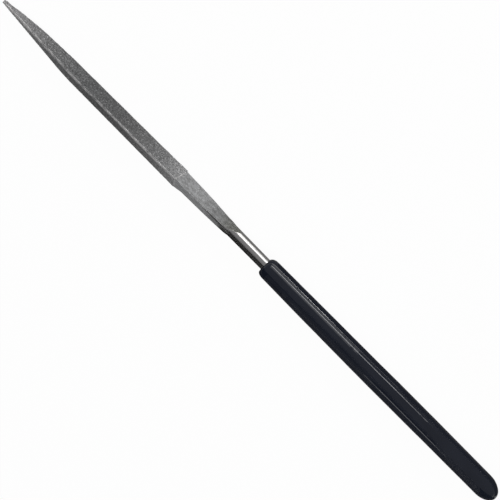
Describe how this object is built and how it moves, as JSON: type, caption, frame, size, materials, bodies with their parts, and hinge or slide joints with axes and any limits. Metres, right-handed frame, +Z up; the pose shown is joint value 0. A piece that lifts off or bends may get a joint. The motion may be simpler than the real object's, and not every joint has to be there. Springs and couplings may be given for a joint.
{
  "type": "triangular diamond file",
  "caption": "Slim triangular needle file: tapered three-sided blade with a diamond-grit coating, forged neck, short bare round shank and a dipped soft grip.",
  "frame": {"origin": "under the middle of the file's length, on the level that the grip's underside touches", "axes": "+X along the file from the butt of the grip to the tip of the blade, +Z up, with one flat of the blade facing down and a ridge facing up"},
  "size_m": [0.14, 0.005, 0.0048],
  "materials": {
    "nickel_plated_steel": "bright nickel plate on the round shank, matt and slightly mottled on the forged flats of the neck",
    "diamond_grit": "dark grey electroplated nickel full of fine diamond grit, sandpaper-like, worn brighter along the ridges",
    "vinyl_grip": "soft dipped vinyl, near-black navy, smooth and semi-gloss"
  },
  "bodies": {
    "root": {"steel_blank": "nickel_plated_steel", "diamond_coating": "diamond_grit", "grip": "vinyl_grip"}
  },
  "joints": []
}
